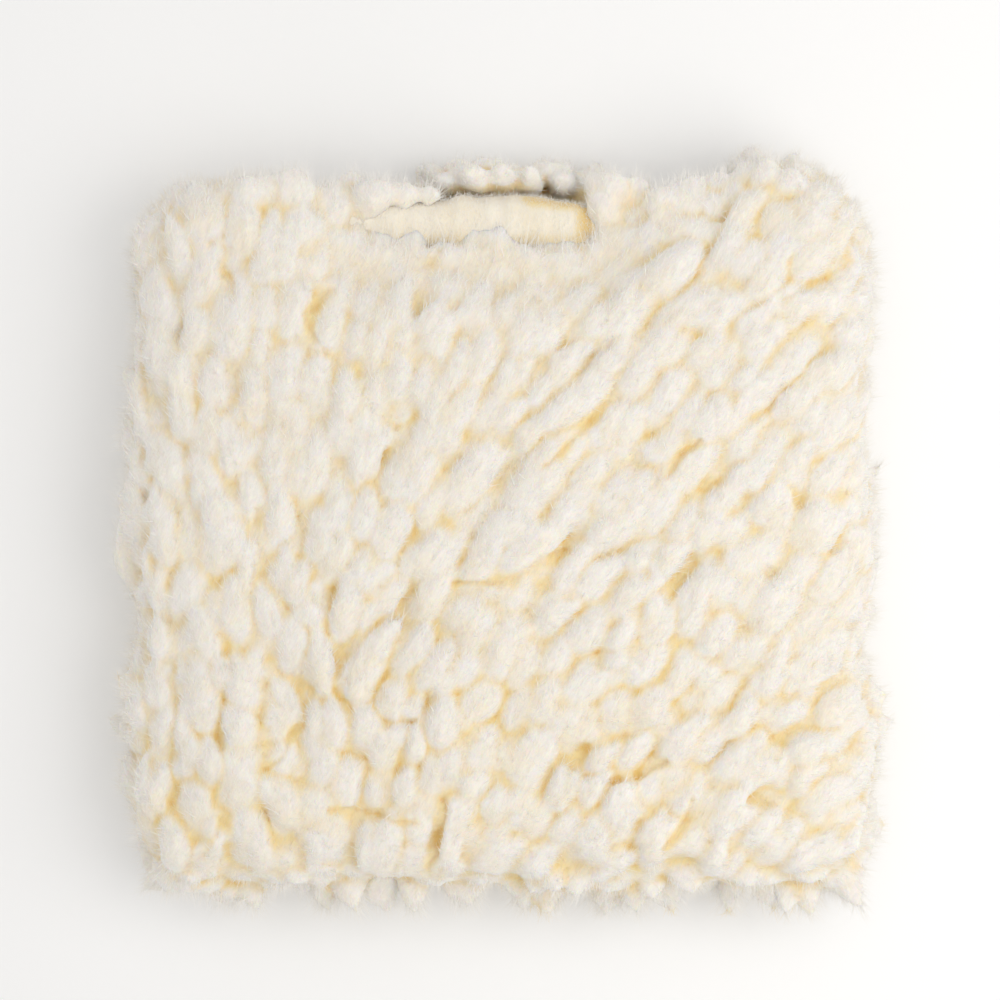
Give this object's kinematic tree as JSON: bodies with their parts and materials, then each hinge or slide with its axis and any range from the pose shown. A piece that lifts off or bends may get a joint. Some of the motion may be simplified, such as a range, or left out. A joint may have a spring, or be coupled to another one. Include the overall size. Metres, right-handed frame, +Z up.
{
  "type": "wash mitt",
  "caption": "Square wash mitt of long cream wool pile on two sewn panels, with a lined hand pocket open at one edge.",
  "frame": {"origin": "centre of the flat face it lies on, at the bottom of its box", "axes": "+X to the right seen from above, +Y towards the hand opening, +Z up out of the front panel"},
  "size_m": [0.236, 0.228, 0.05],
  "materials": {
    "wool_pile": "long soft wool in overlapping locks, matt, near-white at the tips and ochre at the roots",
    "knit_backing": "fine knit, matt",
    "lining_cloth": "plain weave, matt",
    "hem_cloth": "soft brushed cloth with a fine grain",
    "elastic": "ribbed woven elastic",
    "thread": "twisted sewing thread"
  },
  "bodies": {
    "root": {"front_pile": "wool_pile", "back_pile": "wool_pile", "front_backing": "knit_backing", "back_backing": "knit_backing", "front_lining": "lining_cloth", "back_lining": "lining_cloth", "front_mouth_hem": "hem_cloth", "back_mouth_hem": "hem_cloth", "mouth_elastic": "elastic", "side_seam_stitches": "thread", "hem_stitches": "thread"}
  },
  "joints": []
}
